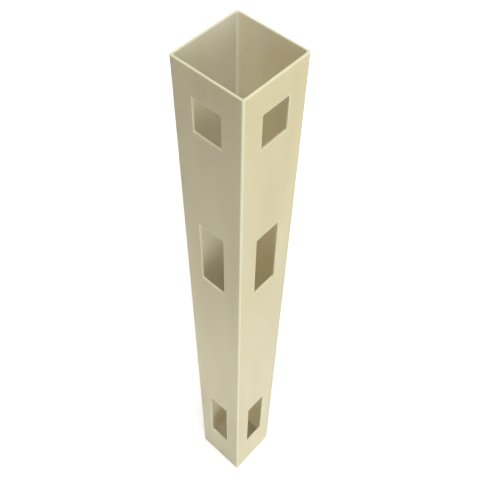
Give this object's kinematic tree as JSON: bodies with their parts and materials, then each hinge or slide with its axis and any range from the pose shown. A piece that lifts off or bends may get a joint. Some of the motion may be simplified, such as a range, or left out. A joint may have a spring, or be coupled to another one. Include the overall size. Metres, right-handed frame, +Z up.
{
  "type": "corner fence post",
  "caption": "Hollow square vinyl fence post for a corner, open at both ends, with rectangular rail openings cut at matching heights in two neighbouring walls.",
  "frame": {"origin": "centre of the post's square outline, on the plane that its foot stands on", "axes": "+Z up along the post; the two walls with rail openings face -Y and +X, and meet at the post's front corner"},
  "size_m": [0.127, 0.127, 1.3716],
  "materials": {
    "vinyl": "satin tan rigid PVC, extruded, with sawn ends and routed openings"
  },
  "bodies": {
    "root": {"corner_post": "vinyl"}
  },
  "joints": []
}
